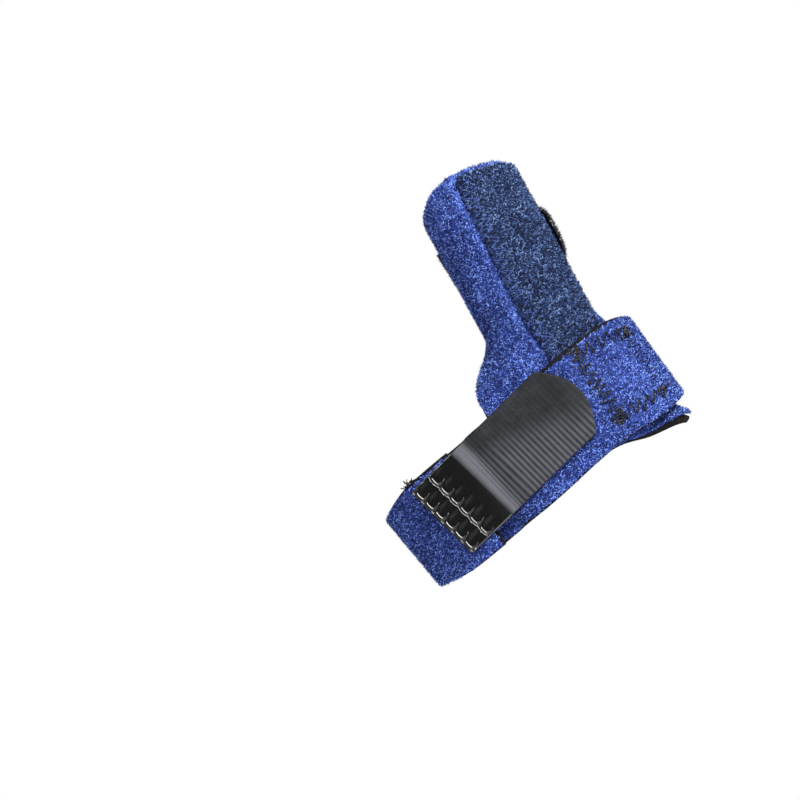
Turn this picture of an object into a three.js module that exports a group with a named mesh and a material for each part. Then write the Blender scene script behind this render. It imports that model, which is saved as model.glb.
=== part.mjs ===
// Little finger support brace, as it sits on the hand: a padded sleeve wraps the finger and opens below
// onto the palm, and a padded strap, closed by a hook tab, holds it round the hand.
// Millimetres. +Z runs up the hand to the fingers, -Y is the palm side, +X the little finger's side,
// and the origin is the middle of the space that the hand fills inside the strap.
import * as THREE from 'three';

const { lerp, clamp, smoothstep, degToRad } = THREE.MathUtils;

// Driving dimensions: what the brace fits round
const handWidth = 68.5;
const handDepth = 27;
const handRoundness = 2.5;
const fingerGirth = 58;
const fingerDepth = 16.9;
const fingerFlatness = 0.09;

// Driving dimensions: layers
const liningThickness = 2;
const faceThickness = 1;
const panelThickness = 1.5;
const tabThickness = 1.2;
const layerGap = 0.3;
const faceInset = 0.5;

// Driving dimensions: finger sleeve
const rimHeight = 64;
const rimFall = 6;
const palmTop = 12;
const fingerRoot = 27;
const axisFoot = 21;
const axisTilt = degToRad(9.8);
const seamFoot = 16.5;
const seamTilt = degToRad(13.5);
const backLean = degToRad(12);
const leanStart = 14;
const seamTurnAtPalm = degToRad(-13);
const seamTurnAtRim = degToRad(-2);
const fingerWingLeft = 17.7;
const palmWingLeft = 20.8;
const strapWingLeft = 17.5;
const fingerWingRight = 37.4;
const palmWingRight = 44;
const hemDepth = 19.6;
const hemReveal = 0.7;
const hemFlare = 2.65;
const hemFlareBend = 1.5;
const hemFlareFull = 22;
const cornerRadius = 8;

// Driving dimensions: pocket panel
const panelWidth = 14.3;
const panelFoot = 12.6;
const panelRimBorder = 1.3;
const panelFacet = degToRad(11);
const facetEdge = 2.4;

// Driving dimensions: finger tab
const fingerTabWidth = 18;
const fingerTabHeight = 43;
const fingerTabSetBack = 0.6;
const fingerTabSewnEnd = 16.2;
const fingerTabSlant = 1.6;
const fingerTabTipSag = 7;
const fingerTabTipLift = 0.9;

// Driving dimensions: hand strap
const strapWidth = 26.5;
const wingEndX = -24;
const strapEndX = -14.6;
const strapEndSlant = 3;
const rampLength = 8;
const backRampLength = 11;
const liftOverPanel = 2;

// Driving dimensions: hand tab
const handTabWidth = 21.4;
const handTabSewnX = -26.3;
const handTabTipX = 20.7;
const handTabTipSag = 4.2;
const handTabTilt = degToRad(4.7);
const handTabMidHeight = 2.7;
const handTabDip = 1.6;
const handTabDipLength = 10;

// How finely the shapes are worked out
const walkStep = 0.5;
const normalReach = 0.05;
const halvings = 40;
const cornerGather = 0.4;
const hemGather = 0.35;
const liftClearance = 1.05;
const sleeveColumns = 38;
const sleeveRows = 20;
const panelColumns = 8;
const panelRows = 12;
const fingerTabColumns = 22;
const fingerTabRows = 10;
const strapColumns = 84;
const strapRows = 3;
const handTabColumns = 22;
const handTabRows = 8;

const faceFrom = liningThickness + layerGap;
const laminate = faceFrom + faceThickness;
const layerStep = laminate + layerGap;

// Top and hem of the sleeve cloth. at: place round the finger as a share of its girth, from the panel's
// left seam. rim: share of the rim's fall. hem: share of the hem's depth below the hand's middle plane.
const sleeveEdges = [
  { at: -0.38, rim: 1.0, hem: 0.55 },
  { at: -0.21, rim: 0.48, hem: 0.57 },
  { at: -0.1, rim: 0.1, hem: 0.59 },
  { at: 0.0, rim: 0.0, hem: 0.62 },
  { at: 0.1, rim: 0.05, hem: 0.68 },
  { at: 0.22, rim: 0.12, hem: 0.82 },
  { at: 0.34, rim: 0.7, hem: 0.91 },
  { at: 0.48, rim: 0.9, hem: 1.0 },
  { at: 0.6, rim: 1.0, hem: 0.92 },
  { at: 0.76, rim: 1.0, hem: 0.8 },
];

// Edges of the strap. at: place round the hand as a share of its girth, from the middle of the palm.
// top, bottom: shares of the strap's width above and below its middle line.
const strapEdges = [
  { at: -0.2, top: 0.5, bottom: 0.5 },
  { at: 0.0, top: 0.5, bottom: 0.49 },
  { at: 0.12, top: 0.53, bottom: 0.465 },
  { at: 0.2, top: 0.51, bottom: 0.53 },
  { at: 0.26, top: 0.42, bottom: 0.49 },
  { at: 0.5, top: 0.47, bottom: 0.47 },
  { at: 0.74, top: 0.42, bottom: 0.43 },
  { at: 0.8, top: 0.47, bottom: 0.47 },
  { at: 0.85, top: 0.51, bottom: 0.5 },
  { at: 1.0, top: 0.5, bottom: 0.5 },
];

// A smooth curve through one column of a table, level beyond its ends.
function through(table, column) {
  const last = table.length - 1;
  const slope = (k) => {
    const before = table[Math.max(k - 1, 0)];
    const after = table[Math.min(k + 1, last)];
    return (after[column] - before[column]) / (after.at - before.at);
  };
  return (at) => {
    const place = clamp(at, table[0].at, table[last].at);
    const k = clamp(table.findLastIndex((row) => row.at <= place), 0, last - 1);
    const from = table[k];
    const to = table[k + 1];
    const span = to.at - from.at;
    const t = (place - from.at) / span;
    const ease = t * t * (3 - 2 * t);
    const bend = span * t * (1 - t) * ((1 - t) * slope(k) - t * slope(k + 1));
    return lerp(from[column], to[column], ease) + bend;
  };
}

// The skin of the hand as an oval walked anticlockwise from the middle of the palm, by length.
function handOval(steps = 1440) {
  const power = 2 / handRoundness;
  const bow = (value) => Math.sign(value) * Math.abs(value) ** power;
  const points = [];
  for (let k = 0; k <= steps; k += 1) {
    const angle = (2 * Math.PI * k) / steps;
    points.push([(handWidth / 2) * bow(Math.sin(angle)), (-handDepth / 2) * bow(Math.cos(angle))]);
  }
  const lengths = [0];
  for (let k = 0; k < steps; k += 1) {
    const step = Math.hypot(points[k + 1][0] - points[k][0], points[k + 1][1] - points[k][1]);
    lengths.push(lengths[k] + step);
  }
  const girth = lengths[steps];
  const place = (length) => {
    const wrapped = ((length % girth) + girth) % girth;
    let low = 0;
    let high = steps;
    while (high - low > 1) {
      const middle = (low + high) >> 1;
      if (lengths[middle] > wrapped) high = middle;
      else low = middle;
    }
    const t = (wrapped - lengths[low]) / (lengths[high] - lengths[low]);
    return [lerp(points[low][0], points[high][0], t), lerp(points[low][1], points[high][1], t)];
  };
  const heading = (length) => {
    const reach = girth / steps;
    const [x0, y0] = place(length - reach);
    const [x1, y1] = place(length + reach);
    return Math.atan2(y1 - y0, x1 - x0);
  };
  return { girth, place, heading };
}

const hand = handOval();

// The length round the palm at which a layer that stands off the skin by a height shows at this x.
function palmLength(x, height = 0) {
  let low = -hand.girth / 4;
  let high = hand.girth / 4;
  for (let k = 0; k < halvings; k += 1) {
    const middle = (low + high) / 2;
    const shown = hand.place(middle)[0] + height * Math.sin(hand.heading(middle));
    if (shown < x) low = middle;
    else high = middle;
  }
  return low;
}

// How far the sleeve has closed round the finger at this height: 0 flat on the hand, 1 a tube.
const closing = (z) => smoothstep(z, palmTop, fingerRoot);

const seamX = (z) => seamFoot + Math.tan(seamTilt) * z;
const seamLength = (z) => palmLength(seamX(Math.min(z, fingerRoot)));

// The seam lies on the palm, then leans back with the finger after a soft bend.
function seamY(z) {
  const risen = Math.max(z - leanStart, 0);
  const bend = fingerRoot - leanStart;
  const leaning = risen < bend ? (risen * risen) / (2 * bend) : risen - bend / 2;
  return hand.place(seamLength(z))[1] + Math.tan(backLean) * leaning;
}

// The turn that flattens the cloth under the panel and leaves a soft corner along each of its sides.
function facetTurn(s) {
  const rise = smoothstep(s, -facetEdge, facetEdge);
  const back = smoothstep(s, panelWidth - facetEdge, panelWidth + facetEdge);
  const across = clamp(s / panelWidth, 0, 1);
  return panelFacet * (rise * (1 - 2 * across) + back);
}

function fingerHeading(s, z) {
  const height = clamp((z - palmTop) / (rimHeight - palmTop), 0, 1);
  const turn = (2 * Math.PI * s) / fingerGirth + lerp(seamTurnAtPalm, seamTurnAtRim, height);
  return turn - fingerFlatness * Math.sin(2 * turn) + facetTurn(s);
}

// How far a whole walk round the finger misses its start, which the sleeve spreads along its length.
function closingMiss(z) {
  const steps = Math.ceil(fingerGirth / walkStep);
  let x = 0;
  let y = 0;
  for (let k = 0; k < steps; k += 1) {
    const heading = fingerHeading((fingerGirth * (k + 0.5)) / steps, z);
    x += (Math.cos(heading) * fingerGirth) / steps;
    y += (Math.sin(heading) * fingerGirth) / steps;
  }
  return [x, y];
}

function palmHeading(s, z) {
  const heading = hand.heading(seamLength(z) + s);
  return heading < -Math.PI / 2 ? heading + 2 * Math.PI : heading;
}

// A point of the sleeve on the skin: s is walked round from the panel's left seam, z is up the finger.
function sleevePoint(s, z) {
  const closed = closing(z);
  const steps = Math.max(2, Math.ceil(Math.abs(s) / walkStep));
  const originY = seamY(z);
  let x = seamX(z);
  let y = originY;
  for (let k = 0; k < steps; k += 1) {
    const middle = (s * (k + 0.5)) / steps;
    const flat = closed < 1 ? palmHeading(middle, z) : 0;
    const heading = lerp(flat, fingerHeading(middle, z), closed);
    x += (Math.cos(heading) * s) / steps;
    y += (Math.sin(heading) * s) / steps;
  }
  const [missX, missY] = closed > 0 ? closingMiss(z) : [0, 0];
  x -= (closed * missX * s) / fingerGirth;
  y -= (closed * missY * s) / fingerGirth;
  const axisX = axisFoot + Math.tan(axisTilt) * z;
  const axisY = originY + fingerDepth / 2;
  const rise = closed * (Math.tan(axisTilt) * (axisX - x) + Math.tan(backLean) * (axisY - y));
  const out = hemFlareAt(s, z);
  const side = out > 0 ? hand.heading(seamLength(z) + s) : 0;
  return new THREE.Vector3(x + out * Math.sin(side), y - out * Math.cos(side), z + rise);
}

// Below the strap, which presses it in, the hem stands off the hand towards the little finger's side.
function hemFlareAt(s, z) {
  const strapEdge = strapWidth * Math.max(...strapEdges.map((row) => row.bottom));
  const below = clamp((-z - strapEdge) / (hemDepth - strapEdge), 0, 1);
  return hemFlare * below ** hemFlareBend * smoothstep(s, 0, hemFlareFull);
}

// Offsets a surface along its own normal, outward.
function lifted(surface, u, v, height) {
  const alongU = surface(u + normalReach, v).sub(surface(u - normalReach, v));
  const alongV = surface(u, v + normalReach).sub(surface(u, v - normalReach));
  const normal = alongU.cross(alongV).normalize();
  return surface(u, v).addScaledVector(normal, height);
}

// A closed sheet between two heights over a surface. place(i, j), from 0 to 1, gives its u and v.
function sheet(surface, place, columns, rows, inner, outer) {
  const vertices = [];
  const faces = [];
  const index = (layer, i, j) => (layer * (columns + 1) + i) * (rows + 1) + j;
  for (const height of [inner, outer]) {
    for (let i = 0; i <= columns; i += 1) {
      for (let j = 0; j <= rows; j += 1) {
        const [u, v] = place(i / columns, j / rows);
        vertices.push(...lifted(surface, u, v, height).toArray());
      }
    }
  }
  const quad = (a, b, c, d) => faces.push(a, b, c, a, c, d);
  for (let i = 0; i < columns; i += 1) {
    for (let j = 0; j < rows; j += 1) {
      quad(index(1, i, j), index(1, i + 1, j), index(1, i + 1, j + 1), index(1, i, j + 1));
      quad(index(0, i, j), index(0, i, j + 1), index(0, i + 1, j + 1), index(0, i + 1, j));
    }
  }
  for (let i = 0; i < columns; i += 1) {
    quad(index(0, i, 0), index(0, i + 1, 0), index(1, i + 1, 0), index(1, i, 0));
    quad(index(1, i, rows), index(1, i + 1, rows), index(0, i + 1, rows), index(0, i, rows));
  }
  for (let j = 0; j < rows; j += 1) {
    quad(index(1, 0, j), index(1, 0, j + 1), index(0, 0, j + 1), index(0, 0, j));
    quad(index(0, columns, j), index(0, columns, j + 1), index(1, columns, j + 1), index(1, columns, j));
  }
  const geometry = new THREE.BufferGeometry();
  geometry.setAttribute('position', new THREE.Float32BufferAttribute(vertices, 3));
  geometry.setIndex(faces);
  geometry.computeVertexNormals();
  return geometry;
}

// Spreads a share so that it gathers near both ends, where corners are rounded.
const gathered = (t) => lerp(t, t * t * (3 - 2 * t), cornerGather);

// How much an edge draws back near a rounded corner, by the distance from the end.
function cornerFall(distance, radius) {
  const into = clamp(radius - distance, 0, radius);
  return radius - Math.sqrt(radius * radius - into * into);
}

// Draws the border of a sheet in, so that the foam below it shows as a dark edge.
function trimmed(place, inset, hemInset = inset) {
  return (i, j) => {
    const [u, v] = place(i, j);
    const acrossU = (i === 0 ? inset : 0) - (i === 1 ? inset : 0);
    const acrossV = (j === 0 ? hemInset : 0) - (j === 1 ? inset : 0);
    return [u + acrossU, v + acrossV];
  };
}

// Length of the sleeve's cloth left of the seam: a lobe on the palm, narrower above and below it.
function wingLeft(z) {
  const underStrap = smoothstep(palmTop - z, 0, palmTop);
  return lerp(lerp(palmWingLeft, strapWingLeft, underStrap), fingerWingLeft, closing(z));
}

// The outline that the sleeve's cloth is cut to.
function sleevePlace(i, j) {
  const rim = through(sleeveEdges, 'rim');
  const hem = through(sleeveEdges, 'hem');
  const t = gathered(i);
  const flat = lerp(-palmWingLeft, palmWingRight, t);
  const fromEnd = Math.min(flat + palmWingLeft, palmWingRight - flat);
  const top = rimHeight - rimFall * rim(flat / fingerGirth);
  const bottom = -hemDepth * hem(flat / fingerGirth);
  const up = lerp(j, j * j, hemGather);
  const z = lerp(bottom, top, up) + cornerFall(fromEnd, cornerRadius) * (1 - up) ** 3;
  const right = lerp(palmWingRight, fingerWingRight, closing(z));
  return [lerp(-wingLeft(z), right, t), z];
}

// Height of the strap's inner side over the skin. length is walked from the middle of the palm.
function strapRise(length, z) {
  const ontoBase = seamLength(z) - wingLeft(z) - layerGap;
  const offBase = seamLength(z) + palmWingRight + layerGap;
  const wingEnd = hand.girth + palmLength(wingEndX, laminate) - layerGap;
  const climb = smoothstep(length, ontoBase - rampLength, ontoBase);
  const descent = smoothstep(length, offBase, offBase + backRampLength);
  const ontoWing = smoothstep(length, wingEnd - backRampLength, wingEnd);
  return layerStep * (climb - descent + ontoWing) + panelLift(length, z);
}

// The panel's foot under the strap's upper edge lifts that edge.
function panelLift(length, z) {
  const start = palmLength(seamX(palmTop), laminate);
  const end = start + panelWidth + rampLength;
  const onto = smoothstep(length, start - backRampLength, start);
  const off = smoothstep(length, end, end + backRampLength);
  return liftOverPanel * clamp(0.5 + z / strapWidth, 0, 1) * onto * (1 - off);
}

function strapPoint(length, z) {
  const [x, y] = hand.place(length);
  const side = hand.heading(length);
  const rise = strapRise(length, z);
  return new THREE.Vector3(x + rise * Math.sin(side), y - rise * Math.cos(side), z);
}

function strapPlace(i, j) {
  const top = through(strapEdges, 'top');
  const bottom = through(strapEdges, 'bottom');
  const wingEnd = palmLength(wingEndX, laminate);
  const end = hand.girth + palmLength(strapEndX, layerStep + laminate);
  const cut = end - strapEndSlant * (1 - j);
  const length = lerp(wingEnd, cut, i);
  const share = length / hand.girth;
  return [length, strapWidth * lerp(-bottom(share), top(share), j)];
}

// The hand tab lies on the strap's end, dips beside its cut edge, and lies on the wing over the sleeve.
function handTabPoint(length, z) {
  const [x, y] = hand.place(length);
  const side = hand.heading(length);
  const dipStart = palmLength(strapEndX, layerStep + laminate);
  const within = clamp((length - dipStart) / handTabDipLength, 0, 1);
  const dip = handTabDip * Math.sin(Math.PI * within) ** 2;
  const rise = 2 * layerStep + liftClearance * panelLift(length, z) - dip;
  return new THREE.Vector3(x + rise * Math.sin(side), y - rise * Math.cos(side), z);
}

function handTabPlace(i, j) {
  const sewn = palmLength(handTabSewnX, 2 * layerStep);
  const tip = palmLength(handTabTipX, 2 * layerStep);
  const across = (j - 0.5) * handTabWidth;
  const sag = handTabTipSag * (2 * j - 1) ** 2;
  const along = i * (tip - sewn - sag);
  const length = sewn + along * Math.cos(handTabTilt) - across * Math.sin(handTabTilt);
  const middle = handTabMidHeight - ((tip - sewn) / 2) * Math.sin(handTabTilt);
  return [length, middle + along * Math.sin(handTabTilt) + across * Math.cos(handTabTilt)];
}

// The finger tab runs from its sewn end at the finger's inner side round its back to the panel's edge,
// where its stiff tip stands a little off the cloth.
function fingerTabRise(s) {
  const front = panelWidth + fingerTabSetBack;
  return layerStep + layerGap / 3 + fingerTabTipLift * (1 - smoothstep(s, front, front + rampLength));
}

function fingerTabPlace(i, j) {
  const across = 2 * j - 1;
  const sag = fingerTabTipSag * across * across;
  const end = fingerGirth - fingerTabSewnEnd + fingerTabSlant * (j - 0.5);
  const s = lerp(panelWidth + fingerTabSetBack + sag, end, i);
  return [s, fingerTabHeight + (across * fingerTabWidth) / 2];
}

function fingerTabPoint(s, z) {
  return lifted(sleevePoint, s, z, fingerTabRise(s));
}

// The pocket panel between its two seams, from the strap to just under the rim.
function panelPlace(i, j) {
  const rim = through(sleeveEdges, 'rim');
  const s = lerp(0, panelWidth, i);
  const top = rimHeight - rimFall * rim(s / fingerGirth) - panelRimBorder;
  return [s, lerp(panelFoot, top, j)];
}

const brushedBlue = { color: 0x2f4690, roughness: 0.95, metalness: 0 };
const blackFoam = { color: 0x262422, roughness: 0.9, metalness: 0 };
const navyPile = { color: 0x2c3c66, roughness: 1, metalness: 0 };
const hookTape = { color: 0x2b2d2f, roughness: 0.6, metalness: 0 };

const brace = new THREE.Group();

function add(name, finish, geometry) {
  const mesh = new THREE.Mesh(geometry, new THREE.MeshStandardMaterial(finish));
  mesh.name = name;
  brace.add(mesh);
}

const sleeveFacePlace = trimmed(sleevePlace, faceInset, hemReveal);
const strapFacePlace = trimmed(strapPlace, faceInset);
const panelOuter = layerStep + panelThickness;

function sleeveSheet(place, inner, outer) {
  return sheet(sleevePoint, place, sleeveColumns, sleeveRows, inner, outer);
}

function strapSheet(place, inner, outer) {
  return sheet(strapPoint, place, strapColumns, strapRows, inner, outer);
}

function panelSheet(place) {
  return sheet(sleevePoint, place, panelColumns, panelRows, layerStep, panelOuter);
}

function tabSheet(point, place, columns, rows) {
  return sheet(point, place, columns, rows, 0, tabThickness);
}

add('sleeve_lining', blackFoam, sleeveSheet(sleevePlace, 0, liningThickness));
add('sleeve_face', brushedBlue, sleeveSheet(sleeveFacePlace, faceFrom, laminate));
add('pocket_panel', navyPile, panelSheet(panelPlace));
add('finger_tab', hookTape, tabSheet(fingerTabPoint, fingerTabPlace, fingerTabColumns, fingerTabRows));
add('strap_lining', blackFoam, strapSheet(strapPlace, 0, liningThickness));
add('strap_face', brushedBlue, strapSheet(strapFacePlace, faceFrom, laminate));
add('hand_tab', hookTape, tabSheet(handTabPoint, handTabPlace, handTabColumns, handTabRows));

export default brace;
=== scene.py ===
# Little finger support brace: a padded finger sleeve with a pile panel, a finger tab, and a padded hand
# strap that a ribbed hook tab closes on the palm. The shape functions work in millimetres, as the brace is
# cut and sewn, and the meshes are made in metres.
import math

import bpy
import numpy as np
from mathutils import Matrix, Vector


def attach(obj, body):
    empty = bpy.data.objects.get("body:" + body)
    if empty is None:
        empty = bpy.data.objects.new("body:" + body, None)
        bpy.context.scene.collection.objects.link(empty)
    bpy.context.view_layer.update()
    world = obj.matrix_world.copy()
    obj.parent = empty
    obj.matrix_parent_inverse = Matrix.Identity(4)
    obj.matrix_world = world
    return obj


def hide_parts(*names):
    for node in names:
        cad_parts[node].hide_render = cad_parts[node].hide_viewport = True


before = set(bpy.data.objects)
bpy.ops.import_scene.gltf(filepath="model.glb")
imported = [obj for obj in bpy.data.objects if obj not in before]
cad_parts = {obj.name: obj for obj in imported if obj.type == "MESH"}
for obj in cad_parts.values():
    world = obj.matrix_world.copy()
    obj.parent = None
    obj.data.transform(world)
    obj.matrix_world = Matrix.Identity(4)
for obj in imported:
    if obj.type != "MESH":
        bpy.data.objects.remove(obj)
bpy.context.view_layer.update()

MM = 0.001

# What the brace fits round
HAND_WIDTH = 68.5
HAND_DEPTH = 27
HAND_ROUNDNESS = 2.5
FINGER_GIRTH = 58
FINGER_DEPTH = 16.9
FINGER_FLATNESS = 0.09

# Layers
LINING = 2
FACE = 1
PANEL = 1.5
TAB = 1.2
GAP = 0.3
FACE_INSET = 0.5
RAGGED = 0.2
STRAP_TOP_REVEAL = 0.9
RIM_TURN = 0.4
FACE_FROM = LINING + GAP
LAMINATE = FACE_FROM + FACE
ON_FACE = LAMINATE + GAP

# Finger sleeve
RIM_HEIGHT = 64
RIM_FALL = 6
PALM_TOP = 12
FINGER_ROOT = 27
AXIS_FOOT = 21
AXIS_TILT = math.radians(9.8)
SEAM_FOOT = 16.5
SEAM_TILT = math.radians(13.5)
BACK_LEAN = math.radians(12)
LEAN_START = 14
SEAM_TURN_AT_PALM = math.radians(-13)
SEAM_TURN_AT_RIM = math.radians(-2)
FINGER_WING_LEFT = 17.7
PALM_WING_LEFT = 20.8
STRAP_WING_LEFT = 17.5
FINGER_WING_RIGHT = 37.4
PALM_WING_RIGHT = 44
HEM_DEPTH = 19.6
HEM_REVEAL = 0.25
HEM_FLARE = 2.65
HEM_FLARE_BEND = 1.5
HEM_FLARE_FULL = 22
CORNER_RADIUS = 8

# Pocket panel
PANEL_WIDTH = 14.3
PANEL_FOOT = 12.6
PANEL_RIM_BORDER = 1.3
PANEL_FACET = math.radians(11)
FACET_EDGE = 2.4

# Finger tab
FINGER_TAB_WIDTH = 18
FINGER_TAB_HEIGHT = 44
FINGER_TAB_SET_BACK = 0.6
FINGER_TAB_SEWN_END = 16.2
FINGER_TAB_SLANT = 1.6
FINGER_TAB_TIP_SAG = 4.5
FINGER_TAB_TIP_LIFT = 1.4

# Hand strap
STRAP_WIDTH = 26.5
WING_END_X = -24
STRAP_END_X = -14.6
STRAP_END_SLANT = 3
RAMP = 8
BACK_RAMP = 11
LIFT_OVER_PANEL = 2

# Hand tab
HAND_TAB_WIDTH = 21.4
HAND_TAB_SEWN_X = -26.3
HAND_TAB_TIP_X = 20.7
HAND_TAB_TIP_SAG = 4.2
HAND_TAB_TILT = math.radians(4.7)
HAND_TAB_MID_HEIGHT = 2.7
HAND_TAB_DIP = 1.6
HAND_TAB_DIP_LENGTH = 10

# Top and hem of the sleeve's cloth, by share of the finger's girth from the panel's left seam
SLEEVE_EDGES = {
    "at": (-0.38, -0.21, -0.1, 0.0, 0.1, 0.22, 0.34, 0.48, 0.6, 0.76),
    "rim": (1.0, 0.48, 0.1, 0.0, 0.05, 0.12, 0.7, 0.9, 1.0, 1.0),
    "hem": (0.55, 0.57, 0.59, 0.62, 0.68, 0.82, 0.91, 1.0, 0.92, 0.8),
}

# Edges of the strap, by share of the hand's girth from the middle of the palm
STRAP_EDGES = {
    "at": (-0.2, 0.0, 0.12, 0.2, 0.26, 0.5, 0.74, 0.8, 0.85, 1.0),
    "top": (0.5, 0.5, 0.53, 0.51, 0.42, 0.47, 0.42, 0.47, 0.51, 0.5),
    "bottom": (0.5, 0.49, 0.465, 0.53, 0.49, 0.47, 0.43, 0.47, 0.5, 0.5),
}


def lerp(first, second, share):
    return first + (second - first) * share


def smooth(value, low, high):
    share = np.clip((value - low) / (high - low), 0, 1)
    return share * share * (3 - 2 * share)


def hill(distance, width):
    """A bell of height 1 about nought."""
    return np.exp(-((distance / width) ** 2))


def through(table, column):
    """A smooth curve through one column of a table, level beyond its ends."""
    at = np.array(table["at"])
    value = np.array(table[column])
    before = np.maximum(np.arange(len(at)) - 1, 0)
    after = np.minimum(np.arange(len(at)) + 1, len(at) - 1)
    slope = (value[after] - value[before]) / (at[after] - at[before])

    def curve(place):
        place = np.clip(place, at[0], at[-1])
        row = np.clip(np.searchsorted(at, place, side="right") - 1, 0, len(at) - 2)
        span = at[row + 1] - at[row]
        share = (place - at[row]) / span
        ease = share * share * (3 - 2 * share)
        bend = span * share * (1 - share) * ((1 - share) * slope[row] - share * slope[row + 1])
        return lerp(value[row], value[row + 1], ease) + bend

    return curve


class Hand:
    """The skin of the hand as an oval walked anticlockwise from the middle of the palm, by length."""

    def __init__(self, steps=1440):
        power = 2 / HAND_ROUNDNESS
        angle = np.linspace(0, 2 * math.pi, steps + 1)
        across, deep = np.sin(angle), np.cos(angle)
        self.x = HAND_WIDTH / 2 * np.sign(across) * np.abs(across) ** power
        self.y = -HAND_DEPTH / 2 * np.sign(deep) * np.abs(deep) ** power
        self.lengths = np.concatenate([[0], np.cumsum(np.hypot(np.diff(self.x), np.diff(self.y)))])
        self.girth = self.lengths[-1]
        self.reach = self.girth / steps

    def place(self, length):
        wrapped = np.mod(length, self.girth)
        return np.interp(wrapped, self.lengths, self.x), np.interp(wrapped, self.lengths, self.y)

    def heading(self, length):
        x0, y0 = self.place(length - self.reach)
        x1, y1 = self.place(length + self.reach)
        return np.arctan2(y1 - y0, x1 - x0)

    def palm_length(self, x, height=0):
        """The length round the palm at which a layer that stands off the skin by a height shows at this x."""
        walk = np.linspace(-self.girth / 4, self.girth / 4, 2000)
        shown = self.place(walk)[0] + height * np.sin(self.heading(walk))
        return np.interp(x, shown, walk)

    def off_skin(self, length, z, rise):
        x, y = self.place(length)
        side = self.heading(length)
        return np.stack([x + rise * np.sin(side), y - rise * np.cos(side), z + 0 * length], axis=-1)


hand = Hand()


class Skin:
    """A surface held as a fine table over two lengths, with its outward normals."""

    def __init__(self, point, u_range, v_range, step=0.4):
        self.low = (u_range[0], v_range[0])
        self.step = step
        u = np.arange(u_range[0], u_range[1] + step, step)
        v = np.arange(v_range[0], v_range[1] + step, step)
        self.points = point(u, v)
        along_u = np.gradient(self.points, axis=0)
        along_v = np.gradient(self.points, axis=1)
        normals = np.cross(along_u, along_v)
        self.normals = normals / np.linalg.norm(normals, axis=-1, keepdims=True)

    def read(self, table, u, v):
        i = np.clip((u - self.low[0]) / self.step, 0, table.shape[0] - 1.001)
        j = np.clip((v - self.low[1]) / self.step, 0, table.shape[1] - 1.001)
        i0, j0 = i.astype(int), j.astype(int)
        s, t = (i - i0)[..., None], (j - j0)[..., None]
        first = lerp(table[i0, j0], table[i0 + 1, j0], s)
        second = lerp(table[i0, j0 + 1], table[i0 + 1, j0 + 1], s)
        return lerp(first, second, t)

    def lift(self, u, v, height):
        """Points that stand off the surface by a height along its normal."""
        return self.read(self.points, u, v) + self.read(self.normals, u, v) * np.asarray(height)[..., None]


def closing(z):
    """How far the sleeve has closed round the finger: 0 flat on the hand, 1 a tube."""
    return smooth(z, PALM_TOP, FINGER_ROOT)


def seam_x(z):
    return SEAM_FOOT + math.tan(SEAM_TILT) * z


def seam_length(z):
    return hand.palm_length(seam_x(np.minimum(z, FINGER_ROOT)))


def seam_y(z):
    """The seam lies on the palm, then leans back with the finger after a soft bend."""
    risen = np.maximum(z - LEAN_START, 0)
    bend = FINGER_ROOT - LEAN_START
    leaning = np.where(risen < bend, risen * risen / (2 * bend), risen - bend / 2)
    return hand.place(seam_length(z))[1] + math.tan(BACK_LEAN) * leaning


def facet_turn(s):
    """The turn that flattens the cloth under the panel and leaves a soft corner along each of its sides."""
    rise = smooth(s, -FACET_EDGE, FACET_EDGE)
    back = smooth(s, PANEL_WIDTH - FACET_EDGE, PANEL_WIDTH + FACET_EDGE)
    across = np.clip(s / PANEL_WIDTH, 0, 1)
    return PANEL_FACET * (rise * (1 - 2 * across) + back)


def finger_heading(s, z):
    height = np.clip((z - PALM_TOP) / (RIM_HEIGHT - PALM_TOP), 0, 1)
    turn = 2 * math.pi * s / FINGER_GIRTH + lerp(SEAM_TURN_AT_PALM, SEAM_TURN_AT_RIM, height)
    return turn - FINGER_FLATNESS * np.sin(2 * turn) + facet_turn(s)


def closing_miss(z, steps=116):
    """How far a whole walk round the finger misses its start, which the sleeve spreads along its length."""
    walk = FINGER_GIRTH * (np.arange(steps) + 0.5) / steps
    heading = finger_heading(walk[:, None], z[None, :])
    step = FINGER_GIRTH / steps
    return np.cos(heading).sum(axis=0) * step, np.sin(heading).sum(axis=0) * step


def palm_heading(s, z):
    heading = hand.heading(seam_length(z) + s)
    return np.where(heading < -math.pi / 2, heading + 2 * math.pi, heading)


def hem_flare(s, z):
    """Below the strap, which presses it in, the hem stands off the hand towards the little finger's side."""
    strap_edge = STRAP_WIDTH * max(STRAP_EDGES["bottom"])
    below = np.clip((-z - strap_edge) / (HEM_DEPTH - strap_edge), 0, 1)
    return HEM_FLARE * below**HEM_FLARE_BEND * smooth(s, 0, HEM_FLARE_FULL)


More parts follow.
